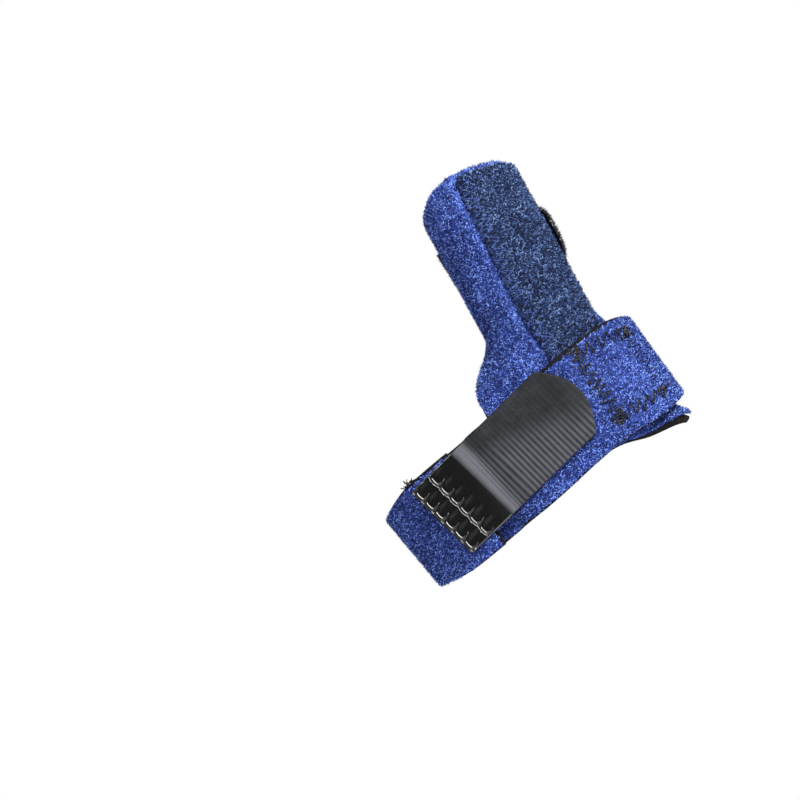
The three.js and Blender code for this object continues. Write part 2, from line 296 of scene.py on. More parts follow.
def sleeve_points(s, z):
    """The sleeve on the skin: s is walked round from the panel's left seam, z is up the finger."""
    step = s[1] - s[0]
    start = int(np.argmin(np.abs(s)))
    middles = s[:-1, None] + step / 2
    closed = closing(z)[None, :]
    heading = lerp(palm_heading(middles, z[None, :]), finger_heading(middles, z[None, :]), closed)
    nought = np.zeros((1, len(z)))
    walk_x = np.concatenate([nought, np.cumsum(np.cos(heading) * step, axis=0)])
    walk_y = np.concatenate([nought, np.cumsum(np.sin(heading) * step, axis=0)])
    miss_x, miss_y = closing_miss(z)
    origin_y = seam_y(z)
    x = seam_x(z) + walk_x - walk_x[start] - closed * miss_x * s[:, None] / FINGER_GIRTH
    y = origin_y + walk_y - walk_y[start] - closed * miss_y * s[:, None] / FINGER_GIRTH
    axis_x = AXIS_FOOT + math.tan(AXIS_TILT) * z
    axis_y = origin_y + FINGER_DEPTH / 2
    rise = closed * (math.tan(AXIS_TILT) * (axis_x - x) + math.tan(BACK_LEAN) * (axis_y - y))
    out = hem_flare(s[:, None], z[None, :])
    side = hand.heading(seam_length(z)[None, :] + s[:, None])
    return np.stack([x + out * np.sin(side), y - out * np.cos(side), z + rise], axis=-1)


def wing_left(z):
    """Length of the sleeve's cloth left of the seam: a lobe on the palm, narrower above and below it."""
    under_strap = smooth(PALM_TOP - z, 0, PALM_TOP)
    return lerp(lerp(PALM_WING_LEFT, STRAP_WING_LEFT, under_strap), FINGER_WING_LEFT, closing(z))


def panel_lift(length, z):
    """The panel's foot under the strap's upper edge lifts that edge."""
    start = hand.palm_length(seam_x(PALM_TOP), LAMINATE)
    end = start + PANEL_WIDTH + RAMP
    over = smooth(length, start - BACK_RAMP, start) * (1 - smooth(length, end, end + BACK_RAMP))
    return LIFT_OVER_PANEL * np.clip(0.5 + z / STRAP_WIDTH, 0, 1) * over


def strap_points(length, z):
    """The strap's inner side: it climbs the sleeve's lobe, comes off its far side, and climbs its own wing."""
    length, z = length[:, None], z[None, :]
    onto_base = seam_length(z) - wing_left(z) - GAP
    off_base = seam_length(z) + PALM_WING_RIGHT + GAP
    wing_end = hand.girth + hand.palm_length(WING_END_X, LAMINATE) - GAP
    climb = smooth(length, onto_base - RAMP, onto_base)
    descent = smooth(length, off_base, off_base + BACK_RAMP)
    onto_wing = smooth(length, wing_end - BACK_RAMP, wing_end)
    rise = ON_FACE * (climb - descent + onto_wing) + panel_lift(length, z)
    return hand.off_skin(length, z, rise)


def hand_tab_points(length, z):
    """The tab lies on the strap's end, dips beside its cut edge, and lies on the wing over the sleeve."""
    length, z = length[:, None], z[None, :]
    dip_start = hand.palm_length(STRAP_END_X, ON_FACE + LAMINATE)
    within = np.clip((length - dip_start) / HAND_TAB_DIP_LENGTH, 0, 1)
    rise = 2 * ON_FACE + 1.05 * panel_lift(length, z) - HAND_TAB_DIP * np.sin(math.pi * within) ** 2
    return hand.off_skin(length, z, rise)


sleeve_skin = Skin(sleeve_points, (-24, 48), (-22, 68))
strap_skin = Skin(strap_points, (-44, 174), (-17, 17))
hand_tab_skin = Skin(hand_tab_points, (-34, 30), (-12, 18))


def finger_tab_points(s, z):
    """The finger tab runs from its sewn end at the finger's inner side round its back to the panel's edge,
    where its stiff tip stands a little off the cloth."""
    front = PANEL_WIDTH + FINGER_TAB_SET_BACK
    rise = ON_FACE + GAP / 3 + FINGER_TAB_TIP_LIFT * (1 - smooth(s, front, front + RAMP))
    u, v = np.meshgrid(s, z, indexing="ij")
    return sleeve_skin.lift(u, v, rise[:, None] + 0 * v)


finger_tab_skin = Skin(finger_tab_points, (12, 46), (32, 54))


def gathered(share):
    """Spreads a share so that it gathers near both ends, where corners are rounded."""
    return lerp(share, share * share * (3 - 2 * share), 0.4)


def corner_fall(distance, radius):
    into = np.clip(radius - distance, 0, radius)
    return radius - np.sqrt(radius * radius - into * into)


def sleeve_place(i, j):
    """The outline that the sleeve's cloth is cut to."""
    across = gathered(i)
    flat = lerp(-PALM_WING_LEFT, PALM_WING_RIGHT, across)
    from_end = np.minimum(flat + PALM_WING_LEFT, PALM_WING_RIGHT - flat)
    top = RIM_HEIGHT - RIM_FALL * through(SLEEVE_EDGES, "rim")(flat / FINGER_GIRTH)
    bottom = -HEM_DEPTH * through(SLEEVE_EDGES, "hem")(flat / FINGER_GIRTH)
    up = lerp(j, j * j, 0.35)
    z = lerp(bottom, top, up) + corner_fall(from_end, CORNER_RADIUS) * (1 - up) ** 3
    right = lerp(PALM_WING_RIGHT, FINGER_WING_RIGHT, closing(z))
    return lerp(-wing_left(z), right, across), z


def strap_place(i, j):
    wing_end = hand.palm_length(WING_END_X, LAMINATE)
    end = hand.girth + hand.palm_length(STRAP_END_X, ON_FACE + LAMINATE)
    length = lerp(wing_end, end - STRAP_END_SLANT * (1 - j), i)
    share = length / hand.girth
    low, high = -through(STRAP_EDGES, "bottom")(share), through(STRAP_EDGES, "top")(share)
    return length, STRAP_WIDTH * lerp(low, high, j)


def hand_tab_frame():
    """Where the hand tab starts on the strap, how high its middle line starts there, and how long it is."""
    sewn = hand.palm_length(HAND_TAB_SEWN_X, 2 * ON_FACE)
    long = hand.palm_length(HAND_TAB_TIP_X, 2 * ON_FACE) - sewn
    return sewn, HAND_TAB_MID_HEIGHT - long / 2 * math.sin(HAND_TAB_TILT), long


def hand_tab_place(i, j):
    sewn, middle, long = hand_tab_frame()
    across = (j - 0.5) * HAND_TAB_WIDTH
    along = i * (long - HAND_TAB_TIP_SAG * (2 * j - 1) ** 2)
    turn_c, turn_s = math.cos(HAND_TAB_TILT), math.sin(HAND_TAB_TILT)
    return sewn + along * turn_c - across * turn_s, middle + along * turn_s + across * turn_c


def finger_tab_place(i, j):
    across = 2 * j - 1
    sag = FINGER_TAB_TIP_SAG * across * across
    end = FINGER_GIRTH - FINGER_TAB_SEWN_END + FINGER_TAB_SLANT * (j - 0.5)
    front = PANEL_WIDTH + FINGER_TAB_SET_BACK + sag
    return lerp(front, end, i), FINGER_TAB_HEIGHT + across * FINGER_TAB_WIDTH / 2


def panel_top(s):
    return RIM_HEIGHT - RIM_FALL * through(SLEEVE_EDGES, "rim")(s / FINGER_GIRTH) - PANEL_RIM_BORDER


def panel_place(i, j):
    s = lerp(0, PANEL_WIDTH, i)
    return s, lerp(PANEL_FOOT, panel_top(s), j)


def trimmed(place, inset, hem_inset, top_inset):
    """Draws the border of a sheet in raggedly, so that the foam below it shows as a dark edge."""

    def inner(i, j):
        u, v = place(i, j)
        ragged = RAGGED * lumps(u + 60, v + 60, 0.8, 7)
        return u + (inset + ragged) * (1 - 2 * i), v + lerp(hem_inset + ragged, -top_inset - ragged, j)

    return inner


def lumps(u, v, size, seed):
    """Smooth unevenness between -1 and 1 over two lengths, with lumps of about this size."""
    draw = np.random.default_rng(seed).uniform(-1, 1, (96, 96))
    i, j = np.mod(u / size, 95), np.mod(v / size, 95)
    i0, j0 = i.astype(int), j.astype(int)
    s, t = smooth(i - i0, 0, 1), smooth(j - j0, 0, 1)
    return lerp(lerp(draw[i0, j0], draw[i0 + 1, j0], s), lerp(draw[i0, j0 + 1], draw[i0 + 1, j0 + 1], s), t)


def spread(count, long, edge):
    """Shares from 0 to 1, close together at both ends, where an edge is rounded."""
    near = edge / long * np.array([0, 0.06, 0.25, 0.6])
    return np.concatenate([near, np.linspace(edge / long, 1 - edge / long, count), 1 - near[::-1]])


def bulge(distance, edge):
    share = np.clip(distance / edge, 0, 1)
    return np.sqrt(1 - (1 - share) ** 2)


def new_piece(name, vertices, faces):
    mesh = bpy.data.meshes.new(name)
    mesh.from_pydata(vertices.tolist(), [], faces.tolist())
    mesh.shade_smooth()
    piece = bpy.data.objects.new(name, mesh)
    bpy.context.scene.collection.objects.link(piece)
    return piece


def shell(name, skin, place, long, wide, pitch, inner, outer, edge, relief=None, fields=None):
    """A closed sheet between two heights over a skin, with rounded edges. relief raises its outer side, and
    fields are named values that its materials and pile read."""
    i = spread(round(long / pitch), long, edge)
    j = spread(round(wide / pitch), wide, edge)
    i, j = np.meshgrid(i, j, indexing="ij")
    u, v = place(i, j)
    round_u = bulge(np.minimum(u - u[:1], u[-1:] - u), edge)
    round_v = bulge(np.minimum(v - v[:, :1], v[:, -1:] - v), edge)
    full = round_u * round_v
    middle, half = (inner + outer) / 2, (outer - inner) / 2
    raised = relief(u, v) if relief else 0
    top = skin.lift(u, v, middle + (half + raised) * full)
    low = skin.lift(u, v, middle - half * full)
    columns, rows = u.shape
    top_index = np.arange(columns * rows).reshape(columns, rows)
    low_index = top_index.copy()
    low_index[1:-1, 1:-1] = columns * rows + np.arange((columns - 2) * (rows - 2)).reshape(columns - 2, -1)

    def quads(index):
        return np.stack([index[:-1, :-1], index[1:, :-1], index[1:, 1:], index[:-1, 1:]], axis=-1).reshape(-1, 4)

    vertices = np.concatenate([top.reshape(-1, 3), low[1:-1, 1:-1].reshape(-1, 3)]) * MM
    piece = new_piece(name, vertices, np.concatenate([quads(top_index), quads(low_index)[:, ::-1]]))
    under = np.zeros((columns - 2) * (rows - 2))
    for label, field in (fields or {}).items():
        values = np.concatenate([(field(u, v) + 0 * u).ravel(), under])
        layer = piece.data.attributes.new(label, "FLOAT", "POINT")
        layer.data.foreach_set("value", values.astype(np.float32))
    return piece


def cut_size(skin, place, height, steps=240):
    """What a sheet is cut to, in metres: its greatest width and length at this height, and its area."""
    share = np.linspace(0, 1, steps)
    i, j = np.meshgrid(share, share, indexing="ij")
    u, v = place(i, j)
    points = skin.lift(u, v, height + 0 * u) * MM
    across, along = np.diff(points, axis=0), np.diff(points, axis=1)
    wide = np.linalg.norm(across, axis=-1).sum(axis=0).max()
    long = np.linalg.norm(along, axis=-1).sum(axis=1).max()
    area = np.linalg.norm(np.cross(across[:, :-1], along[:-1]), axis=-1).sum()
    return {"flat": (float(wide), float(long)), "area": float(area)}


class Wire:
    """An output of a node. Sums and products on it add the Math nodes that they need."""

    def __init__(self, graph, socket):
        self.graph = graph
        self.socket = socket

    def maths(self, operation, first, second):
        return self.graph.node("ShaderNodeMath", {"operation": operation}, {0: first, 1: second})

    def __add__(self, other):
        return self.maths("ADD", self, other)

    def __radd__(self, other):
        return self.maths("ADD", other, self)

    def __sub__(self, other):
        return self.maths("SUBTRACT", self, other)

    def __rsub__(self, other):
        return self.maths("SUBTRACT", other, self)

    def __mul__(self, other):
        return self.maths("MULTIPLY", self, other)

    def __rmul__(self, other):
        return self.maths("MULTIPLY", other, self)

    def __truediv__(self, other):
        return self.maths("DIVIDE", self, other)


class Graph:
    """A node tree whose nodes are each made by one call."""

    def __init__(self, tree):
        self.tree = tree

    def node(self, kind, settings=None, sockets=None, output=0):
        made = self.tree.nodes.new(kind)
        for name, value in (settings or {}).items():
            if name == "stops":
                for stop in value[2:]:
                    made.color_ramp.elements.new(stop[0])
                for element, stop in zip(made.color_ramp.elements, value):
                    element.position, element.color = stop[0], (*stop[1], 1)
            else:
                setattr(made, name, value)
        for key, value in (sockets or {}).items():
            if isinstance(value, Wire):
                self.tree.links.new(value.socket, made.inputs[key])
            else:
                made.inputs[key].default_value = value
        return Wire(self, made.outputs[output])


class Finish(Graph):
    """A material's nodes, with the few patterns that the brace's finishes are made from."""

    SOCKETS = {
        "colour": "Base Color",
        "roughness": "Roughness",
        "specular": "Specular IOR Level",
        "sheen": "Sheen Weight",
        "sheen_roughness": "Sheen Roughness",
        "coat": "Coat Weight",
        "coat_roughness": "Coat Roughness",
        "coat_ior": "Coat IOR",
        "normal": "Normal",
    }

    def __init__(self, name, colour, roughness, **constants):
        self.material = bpy.data.materials.new(name)
        self.material.use_nodes = True
        super().__init__(self.material.node_tree)
        self.shader = self.tree.nodes["Principled BSDF"]
        self.material.diffuse_color = (*colour, 1)
        self.shader.inputs["Base Color"].default_value = (*colour, 1)
        self.shader.inputs["Roughness"].default_value = roughness
        for label, value in constants.items():
            self.shader.inputs[self.SOCKETS[label]].default_value = value
        self.place = self.node("ShaderNodeTexCoord", output="Object")

    def field(self, name):
        return self.node("ShaderNodeAttribute", {"attribute_name": name}, output="Fac")

    def grain(self, size_mm, detail=2, roughness=0.5):
        sockets = {"Vector": self.place, "Scale": 1 / (size_mm * MM), "Detail": detail, "Roughness": roughness}
        return self.node("ShaderNodeTexNoise", {}, sockets, "Fac")

    def cells(self, size_mm):
        return self.node("ShaderNodeTexVoronoi", {}, {"Vector": self.place, "Scale": 1 / (size_mm * MM)}, "Distance")

    def ramp(self, factor, *stops):
        return self.node("ShaderNodeValToRGB", {"stops": stops}, {0: factor}, "Color")

    def mixed(self, factor, first, second):
        return self.node("ShaderNodeMix", {"data_type": "RGBA"}, {0: factor, 6: first, 7: second}, 2)

    def bump(self, height, distance_mm, strength=1.0):
        sockets = {"Height": height, "Distance": distance_mm * MM, "Strength": strength}
        return self.node("ShaderNodeBump", {}, sockets, "Normal")

    def paint(self, **sockets):
        for label, value in sockets.items():
            self.tree.links.new(value.socket, self.shader.inputs[self.SOCKETS[label]])
        return self.material


ROYAL_SHADE = (0.005, 0.007, 0.035)
ROYAL_DEEP = (0.014, 0.024, 0.13)
ROYAL = (0.032, 0.066, 0.31)
ROYAL_FLECK = (0.24, 0.38, 0.92)
NAVY_GROUND = (0.003, 0.005, 0.018)
NAVY = (0.010, 0.020, 0.065)
NAVY_STRAND = (0.030, 0.062, 0.19)
NAVY_FLECK = (0.17, 0.27, 0.52)
TAPE_BLACK = (0.004, 0.004, 0.004)
CHARCOAL = (0.007, 0.008, 0.009)
# Pale grey of the ribs' crests, partly rubbed and partly painted highlight, also used for the painted reflection beside
# the gloss.
RUBBED_RIB_HIGHLIGHT_AND_REFLECTION = (0.060, 0.061, 0.071)


def brushed_cloth():
    """Royal blue cloth under its nap: fine mottling, with a brighter tone beside the panel's seam and along the rim,
    partly pressed pile and partly painted highlight.
    """
    finish = Finish("brushed_cloth", ROYAL, 0.95, specular=0.15)
    fine = finish.grain(0.42, 3, 0.65)
    patch = finish.grain(9, 2)
    # The seam and rim band lightens the cloth here: partly pressed pile, partly painted highlight.
    tone = fine + (patch - 0.5) * 0.25 + finish.field("pressed") * 0.07
    colour = finish.ramp(tone, (0.3, ROYAL_SHADE), (0.46, ROYAL_DEEP), (0.6, ROYAL), (0.78, ROYAL_FLECK))
    return finish.paint(colour=colour, normal=finish.bump(fine, 0.3))


def nap_hair():
    """The short hairs of the brushed cloth, each with its own tone."""
    finish = Finish("nap_hair", ROYAL, 0.9, specular=0.2)
    # The seam and rim band lightens the hairs here: partly pressed pile, partly painted highlight.
    tone = finish.field("shade") + (finish.grain(9, 2) - 0.5) * 0.3 + finish.field("pressed") * 0.08
    colour = finish.ramp(tone, (0.15, ROYAL_SHADE), (0.45, ROYAL_DEEP), (0.7, ROYAL), (0.95, ROYAL_FLECK))
    return finish.paint(colour=colour)


def pile_ground():
    """The dark ground of the panel, seen between its strands."""
    finish = Finish("pile_ground", NAVY_GROUND, 0.95, specular=0.15)
    fine = finish.grain(0.5, 3, 0.6)
    colour = finish.ramp(fine, (0.35, NAVY_GROUND), (0.7, NAVY))
    return finish.paint(colour=colour, normal=finish.bump(fine, 0.3))


def pile_strand():
    finish = Finish("pile_strand", NAVY_STRAND, 0.8, specular=0.2)
    tone = finish.field("shade") + (finish.grain(6, 2) - 0.5) * 0.3
    colour = finish.ramp(tone, (0.15, NAVY_GROUND), (0.5, NAVY), (0.75, NAVY_STRAND), (0.97, NAVY_FLECK))
    return finish.paint(colour=colour)


def foam():
    """Matt black foam with open pores."""
    finish = Finish("foam", (0.008, 0.007, 0.006), 0.92, specular=0.08)
    pores = finish.cells(0.35)
    patch = finish.grain(2.5, 3)
    colour = finish.ramp(patch, (0.3, (0.004, 0.004, 0.004)), (0.7, (0.012, 0.010, 0.009)))
    return finish.paint(colour=colour, normal=finish.bump(pores, 0.25))


def hook_tape():
    """Charcoal moulded tape whose rib crests are paler, partly rubbed and partly painted highlight, with a painted
    reflection in a pale band beside its black sewn end, which is as glossy as patent leather.
    """
    finish = Finish("hook_tape", CHARCOAL, 0.4, specular=0.12, coat_roughness=0.08, coat_ior=1.7)
    scuff = finish.grain(3.5, 4, 0.6)
    fine = finish.grain(0.25, 2)
    matt = 1 - finish.field("gloss")
    # The rib field paints the ribs' crests pale, partly rubbed and partly painted highlight, and a painted reflection
    # in a band beside the gloss.
    tone = (fine * 0.25 + scuff * 0.3 + finish.field("rib") * 0.6) * matt
    colour = finish.ramp(tone, (0.0, TAPE_BLACK), (0.25, CHARCOAL), (0.9, RUBBED_RIB_HIGHLIGHT_AND_REFLECTION))
    roughness = (fine * 0.12 + scuff * 0.12 + 0.3) * matt + 0.12
    gloss = finish.field("gloss")
    return finish.paint(colour=colour, roughness=roughness, coat=gloss, normal=finish.bump(fine * matt, 0.1))


def hook_plastic():
    """The hooks of the finger tab, black, with a few hooks painted pale grey as painted glints."""
    finish = Finish("hook_plastic", TAPE_BLACK, 0.25, specular=0.6)
    # A few hooks are painted pale grey as painted glints on the black plastic.
    colour = finish.ramp(finish.field("shade"), (0.8, TAPE_BLACK), (0.93, (0.40, 0.38, 0.36)))
    return finish.paint(colour=colour)


def thread(name, colour, roughness):
    """Twisted sewing thread."""
    finish = Finish(name, colour, roughness, specular=0.6)
    return finish.paint(normal=finish.bump(finish.grain(0.08, 2), 0.03))


class Recipe(Graph):
    """A Geometry Nodes tree with named inputs, which grows a plain mesh from a host piece."""

    KINDS = {float: "NodeSocketFloat", int: "NodeSocketInt", bpy.types.Material: "NodeSocketMaterial"}

    def __init__(self, name, **inputs):
        tree = bpy.data.node_groups.new(name, "GeometryNodeTree")
        super().__init__(tree)
        tree.interface.new_socket("Host", in_out="INPUT", socket_type="NodeSocketGeometry")
        self.inputs = {}
        for label, kind in inputs.items():
            self.inputs[label] = tree.interface.new_socket(label, in_out="INPUT", socket_type=self.KINDS[kind])
        tree.interface.new_socket("Made", in_out="OUTPUT", socket_type="NodeSocketGeometry")
        self.entry = tree.nodes.new("NodeGroupInput")

    def given(self, label):
        return Wire(self, self.entry.outputs[label])

    def random(self, low, high, seed, kind="FLOAT"):
        """A random value between two, for each point or instance."""
        if kind == "FLOAT_VECTOR":
            return self.node("FunctionNodeRandomValue", {"data_type": kind}, {0: low, 1: high, 8: seed}, 0)
        return self.node("FunctionNodeRandomValue", {"data_type": kind}, {2: low, 3: high, 8: seed}, 1)

    def turned(self, rotation, euler):
        """A rotation followed by a turn about its own axes."""
        turn = self.node("FunctionNodeEulerToRotation", {}, {0: euler})
        return self.node("FunctionNodeRotateRotation", {"rotation_space": "LOCAL"}, {0: rotation, 1: turn})

    def vector(self, x, y, z):
        return self.node("ShaderNodeCombineXYZ", {}, {0: x, 1: y, 2: z})

    def end(self, geometry, material):
        real = self.node("GeometryNodeRealizeInstances", {}, {0: geometry})
        painted = self.node("GeometryNodeSetMaterial", {}, {0: real, 2: material})
        leave = self.tree.nodes.new("NodeGroupOutput")
        self.tree.links.new(painted.socket, leave.inputs[0])

    def grow(self, host, name, **values):
        modifier = host.modifiers.new(name, "NODES")
        modifier.node_group = self.tree
        for label, value in values.items():
            modifier[self.inputs[label].identifier] = value
        graph = bpy.context.evaluated_depsgraph_get()
        mesh = bpy.data.meshes.new_from_object(
            host.evaluated_get(graph), preserve_all_data_layers=True, depsgraph=graph
        )
        host.modifiers.remove(modifier)
        piece = bpy.data.objects.new(name, mesh)
        bpy.context.scene.collection.objects.link(piece)
        return piece


def nap_recipe():
    """Short straight hairs, closed three-sided spikes, that lean every way off the host's napped side."""
    recipe = Recipe("nap", per_mm2=float, hair_length=float, hair_width=float, seed=int, finish=bpy.types.Material)
    scatter = recipe.tree.nodes.new("GeometryNodeDistributePointsOnFaces")
    recipe.tree.links.new(recipe.given("Host").socket, scatter.inputs["Mesh"])
    napped = recipe.node("GeometryNodeInputNamedAttribute", {}, {"Name": "nap"})
    density = recipe.given("per_mm2") * napped * (1 / MM**2)
    recipe.tree.links.new(density.socket, scatter.inputs["Density"])
    recipe.tree.links.new(recipe.given("seed").socket, scatter.inputs["Seed"])
    hair = recipe.node(
        "GeometryNodeMeshCone",
        {"fill_type": "NGON"},
        {"Vertices": 3, "Side Segments": 1, "Radius Top": 0.0, "Radius Bottom": 0.5, "Depth": 1.0},
    )
    seed = recipe.given("seed")
    lean = recipe.vector(recipe.random(0.5, 1.45, seed + 1), 0.0, 0.0)
    spin = recipe.vector(0.0, 0.0, recipe.random(0.0, 2 * math.pi, seed + 2))
    rotation = recipe.turned(recipe.turned(Wire(recipe, scatter.outputs["Rotation"]), spin), lean)
    length = recipe.given("hair_length") * recipe.random(0.6, 1.4, seed + 3)
    width = recipe.given("hair_width") * recipe.random(0.7, 1.3, seed + 4)
    scale = recipe.vector(width, width, length)
    hairs = recipe.node(
        "GeometryNodeInstanceOnPoints",
        {},
        {"Points": Wire(recipe, scatter.outputs["Points"]), "Instance": hair, "Rotation": rotation, "Scale": scale},
    )
    toned = recipe.node(
        "GeometryNodeStoreNamedAttribute",
        {"data_type": "FLOAT", "domain": "INSTANCE"},
        {"Geometry": hairs, "Name": "shade", "Value": recipe.random(0.0, 1.0, seed + 5)},
    )
    recipe.end(toned, recipe.given("finish"))
    return recipe


def pile_recipe():
    """Curled strands, closed three-sided tubes, that arch over and fall back on the host's napped side."""
    recipe = Recipe("pile", per_mm2=float, strand_length=float, strand_width=float, seed=int, finish=bpy.types.Material)
    scatter = recipe.tree.nodes.new("GeometryNodeDistributePointsOnFaces")
    recipe.tree.links.new(recipe.given("Host").socket, scatter.inputs["Mesh"])
    napped = recipe.node("GeometryNodeInputNamedAttribute", {}, {"Name": "nap"})
    density = recipe.given("per_mm2") * napped * (1 / MM**2)
    recipe.tree.links.new(density.socket, scatter.inputs["Density"])
    recipe.tree.links.new(recipe.given("seed").socket, scatter.inputs["Seed"])
    width = recipe.given("strand_width") / recipe.given("strand_length")
    section = recipe.node("GeometryNodeCurvePrimitiveCircle", {}, {"Resolution": 3, "Radius": width * 0.5})
    curls = [((0, 0, 0.9), (0.7, 0.5, 0.9), (0.9, 0.1, 0.1)), ((0.5, -0.3, 0.7), (1.0, 0.4, 0.6), (0.5, 0.5, 0.25))]
    strands = recipe.tree.nodes.new("GeometryNodeJoinGeometry")
    for rise, fall, tip in curls:
        line = recipe.node(
            "GeometryNodeCurvePrimitiveBezierSegment",
            {"mode": "POSITION"},
            {"Resolution": 2, "Start": (0, 0, 0), "Start Handle": rise, "End Handle": fall, "End": tip},
        )
        tube = recipe.node("GeometryNodeCurveToMesh", {}, {"Curve": line, "Profile Curve": section, "Fill Caps": True})
        single = recipe.node("GeometryNodeGeometryToInstance", {}, {0: tube})
        recipe.tree.links.new(single.socket, strands.inputs[0])
    seed = recipe.given("seed")
    lean = recipe.vector(recipe.random(-0.5, 0.6, seed + 1), recipe.random(-0.3, 0.6, seed + 6), 0.0)
    spin = recipe.vector(0.0, 0.0, recipe.random(0.0, 2 * math.pi, seed + 2))
    rotation = recipe.turned(recipe.turned(Wire(recipe, scatter.outputs["Rotation"]), spin), lean)
    length = recipe.given("strand_length") * recipe.random(0.7, 1.35, seed + 3)
    scale = recipe.vector(length, length, length)
    placed = recipe.node(
        "GeometryNodeInstanceOnPoints",
        {},
        {
            "Points": Wire(recipe, scatter.outputs["Points"]),
            "Instance": Wire(recipe, strands.outputs[0]),
            "Pick Instance": True,
            "Rotation": rotation,
            "Scale": scale,
        },
    )
    toned = recipe.node(
        "GeometryNodeStoreNamedAttribute",
        {"data_type": "FLOAT", "domain": "INSTANCE"},
        {"Geometry": placed, "Name": "shade", "Value": recipe.random(0.0, 1.0, seed + 5)},
    )
    recipe.end(toned, recipe.given("finish"))
    return recipe


def thread_recipe():
    """Two plies twisted round each other along the host's edges."""
    recipe = Recipe("thread", ply_radius=float, twist_length=float, finish=bpy.types.Material)
    line = recipe.node("GeometryNodeMeshToCurve", {}, {0: recipe.given("Host")})
    walked = recipe.node("GeometryNodeSplineParameter", output="Length")
    turn = walked / recipe.given("twist_length") * (2 * math.pi)
    twisted = recipe.node("GeometryNodeSetCurveTilt", {}, {"Curve": line, "Tilt": turn})
    ply = recipe.node("GeometryNodeCurvePrimitiveCircle", {}, {"Resolution": 6, "Radius": recipe.given("ply_radius")})
    plies = recipe.tree.nodes.new("GeometryNodeJoinGeometry")
    for side in (-0.8, 0.8):
        shift = recipe.vector(recipe.given("ply_radius") * side, 0.0, 0.0)
        moved = recipe.node("GeometryNodeTransform", {}, {"Geometry": ply, "Translation": shift})
        recipe.tree.links.new(moved.socket, plies.inputs[0])
    tube = recipe.node(
        "GeometryNodeCurveToMesh",
        {},
        {"Curve": twisted, "Profile Curve": Wire(recipe, plies.outputs[0]), "Fill Caps": True},
    )
    recipe.end(recipe.node("GeometryNodeSetShadeSmooth", {}, {0: tube}), recipe.given("finish"))
    return recipe


def host_of_lines(name, lines):
    """Joins lists of points, in millimetres, into one piece of bare edges."""
    vertices, edges = [], []
    for line in lines:
        first = len(vertices)
        vertices.extend((np.asarray(line) * MM).tolist())
        edges.extend((k, k + 1) for k in range(first, len(vertices) - 1))
    mesh = bpy.data.meshes.new(name)
    mesh.from_pydata(vertices, edges, [])
    host = bpy.data.objects.new(name, mesh)
    bpy.context.scene.collection.objects.link(host)
    return host


def sew(recipe, name, lines, **values):
    host = host_of_lines(name + "_path", lines)
    piece = recipe.grow(host, name, **values)
    bpy.data.objects.remove(host)
    return piece


def finished(piece, body, nodes=(), material=None):
    """Says what a piece rides on, replaces and takes its finish from."""
    if material:
        piece.data.materials.clear()
        piece.data.materials.append(material)
    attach(piece, body)
    if nodes:
        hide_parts(*nodes)
    return piece


def on_hand_tab(length, z):
    """How far along the hand tab from its sewn end, and how far up from its middle line, a place lies."""
    sewn, middle, _ = hand_tab_frame()
    out, up = length - sewn, z - middle
    turn_c, turn_s = math.cos(HAND_TAB_TILT), math.sin(HAND_TAB_TILT)
    return out * turn_c + up * turn_s, up * turn_c - out * turn_s


# What covers the cloth, so that no nap grows into it
def under_hand_tab(length, z, margin=0.6):
    along, across = on_hand_tab(length, z)
    reach = hand_tab_frame()[2] - HAND_TAB_TIP_SAG * (2 * across / HAND_TAB_WIDTH) ** 2
    half = HAND_TAB_WIDTH / 2 - margin
    return (along > margin) & (along < reach - margin) & (np.abs(across) < half)


def strap_nap(length, z):
    overlap_end = hand.palm_length(STRAP_END_X, ON_FACE + LAMINATE) - STRAP_END_SLANT
    hidden = under_hand_tab(length, z) | under_hand_tab(length - hand.girth, z) | (length < overlap_end)
    return np.where(hidden, 0.0, 1.0)


def sleeve_nap(s, z):
    edge = 0.6
    under_panel = (s > edge) & (s < PANEL_WIDTH - edge) & (z < panel_top(s) - edge)
    half = FINGER_TAB_WIDTH / 2 - edge
    under_tab = (s > PANEL_WIDTH) & (np.abs(z - FINGER_TAB_HEIGHT) < half) & (s < FINGER_GIRTH - FINGER_TAB_SEWN_END)
    under_strap = (z < PALM_TOP - 1) & (z > -PALM_TOP)
    return np.where(under_panel | under_tab | under_strap, 0.0, 1.0)


def seam_pressed_and_painted_highlight(s, z):
    """A paler strip painted beside the panel's left seam and along the rim: beside the seam partly pressed nap and
    partly painted highlight on the ridge that the seam pulls up, along the rim a painted highlight on the rolled edge.
    """
    beside = hill(s + 1.1, 0.9) * smooth(z, PALM_TOP, FINGER_ROOT)
    rim = hill(panel_top(s) + PANEL_RIM_BORDER - z, 2.2)
    return np.clip(beside + 0.8 * rim, 0, 1)


def sleeve_relief(s, z):
    """Soft lumps, and the ridge and groove that the panel's left seam pulls up."""
    tube = smooth(z, PALM_TOP, FINGER_ROOT)
    seam = 0.35 * hill(s + 1.5, 1.1) - 0.35 * hill(s - 0.1, 0.6)
    return 0.06 * lumps(s, z, 4.5, 3) + 0.05 * lumps(s, z, 1.1, 4) + tube * seam


# Corners of the box stitch on the strap, as lengths across the palm and up the hand
BOX_CORNERS = ((25.3, 12.0), (38.9, 8.4), (37.8, -9.1), (24.1, -7.2))
BOX_SWING = 1.6
BOX_PITCH = 2.1
BOX_SUNK_SIDE = 1
BOX_SUNK = 0.45
PANEL_STITCH_PITCH = 2.9
PANEL_GROUND = 0.9


def on_strap(x, z):
    """The strap's own length and height where it shows at this place on the palm side."""
    return hand.palm_length(x, ON_FACE + LAMINATE + LIFT_OVER_PANEL / 2), z


def box_sides():
    corners = [np.array(on_strap(*corner)) for corner in BOX_CORNERS]
    return [(corners[k], corners[(k + 1) % len(corners)]) for k in range(len(corners))]


